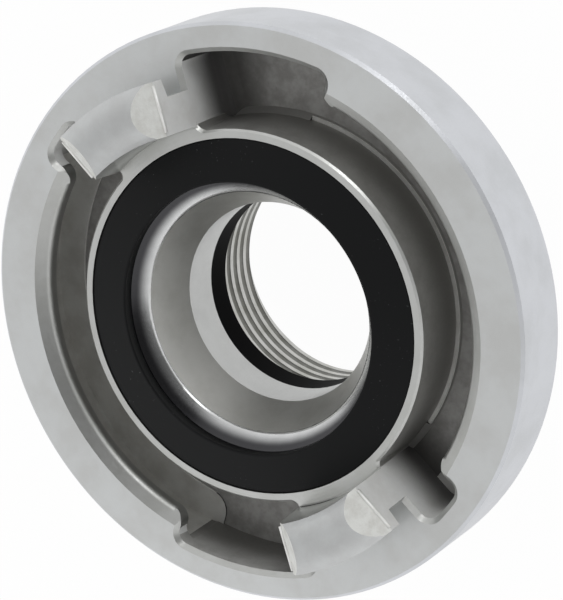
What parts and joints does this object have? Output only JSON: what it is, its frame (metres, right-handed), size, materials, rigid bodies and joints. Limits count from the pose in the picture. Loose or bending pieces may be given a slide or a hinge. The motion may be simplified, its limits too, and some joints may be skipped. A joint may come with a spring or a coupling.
{
  "type": "hose coupling",
  "caption": "Fixed hose coupling half with hooked lugs, an undercut bayonet track in its rim, a rubber face seal and an inside pipe thread.",
  "frame": {"origin": "centre of the rear face of the wrench hexagon, on the axis of the waterway", "axes": "+Z along the waterway towards the coupling face, +X through the middle of one hooked lug"},
  "size_m": [0.0994, 0.0994, 0.049],
  "materials": {
    "cast_aluminium": "blasted and turned, satin",
    "seal_rubber": "matt",
    "gasket_rubber": "matt"
  },
  "bodies": {
    "root": {"coupling_body": "cast_aluminium", "face_seal": "seal_rubber", "thread_gasket": "gasket_rubber"}
  },
  "joints": []
}
